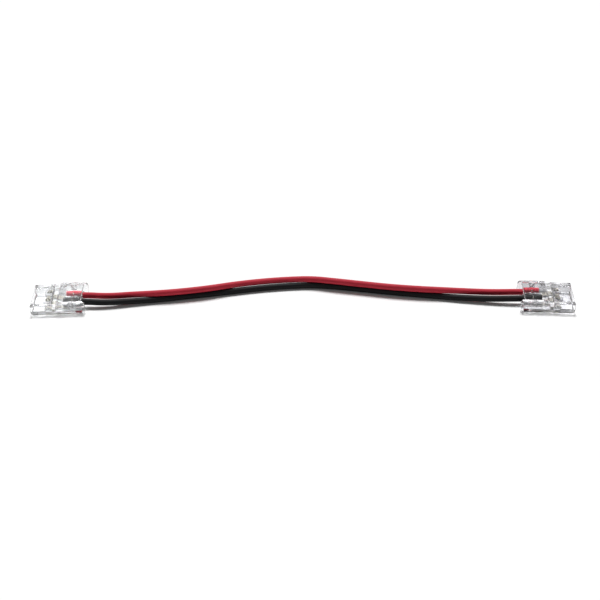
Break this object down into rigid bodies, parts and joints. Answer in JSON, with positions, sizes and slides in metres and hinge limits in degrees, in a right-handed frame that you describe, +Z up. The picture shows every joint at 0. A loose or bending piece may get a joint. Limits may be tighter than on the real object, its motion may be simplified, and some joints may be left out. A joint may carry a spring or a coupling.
{
  "type": "led strip connector",
  "caption": "Jumper cable of two wires with a clear hinged-lid housing at each end that grips and pierces a light strip's contact pads.",
  "frame": {"origin": "on the table under the middle of the two housings, cable left out", "axes": "+X from the left housing to the right one, +Y away from the viewer, towards the red wire and the cable's bow, +Z up"},
  "size_m": [0.1682, 0.0173, 0.0039],
  "materials": {
    "clear_plastic": "glossy",
    "contact_metal": "satin",
    "red_insulation": "satin",
    "black_insulation": "satin"
  },
  "bodies": {
    "housings_and_cable": {"left_base": "clear_plastic", "left_red_contact": "contact_metal", "left_black_contact": "contact_metal", "right_base": "clear_plastic", "right_red_contact": "contact_metal", "right_black_contact": "contact_metal", "red_wire": "red_insulation", "black_wire": "black_insulation"},
    "left_wire_lid": {"left_wire_lid": "clear_plastic"},
    "left_strip_lid": {"left_strip_lid": "clear_plastic"},
    "right_wire_lid": {"right_wire_lid": "clear_plastic"},
    "right_strip_lid": {"right_strip_lid": "clear_plastic"}
  },
  "joints": [
    {"name": "left_wire_lid_hinge", "type": "hinge", "parent": "housings_and_cable", "child": "left_wire_lid", "pos_m": [-0.07483, 0.00005, 0.00275], "axis": [0.0741, -0.9973, 0], "range_deg": [0, 90]},
    {"name": "left_strip_lid_hinge", "type": "hinge", "parent": "housings_and_cable", "child": "left_strip_lid", "pos_m": [-0.07812, -0.0002, 0.00275], "axis": [-0.0741, 0.9973, 0], "range_deg": [0, 90]},
    {"name": "right_wire_lid_hinge", "type": "hinge", "parent": "housings_and_cable", "child": "right_wire_lid", "pos_m": [0.07483, 0.00005, 0.00275], "axis": [0.0741, 0.9973, 0], "range_deg": [0, 90]},
    {"name": "right_strip_lid_hinge", "type": "hinge", "parent": "housings_and_cable", "child": "right_strip_lid", "pos_m": [0.07812, -0.0002, 0.00275], "axis": [-0.0741, -0.9973, 0], "range_deg": [0, 90]}
  ]
}
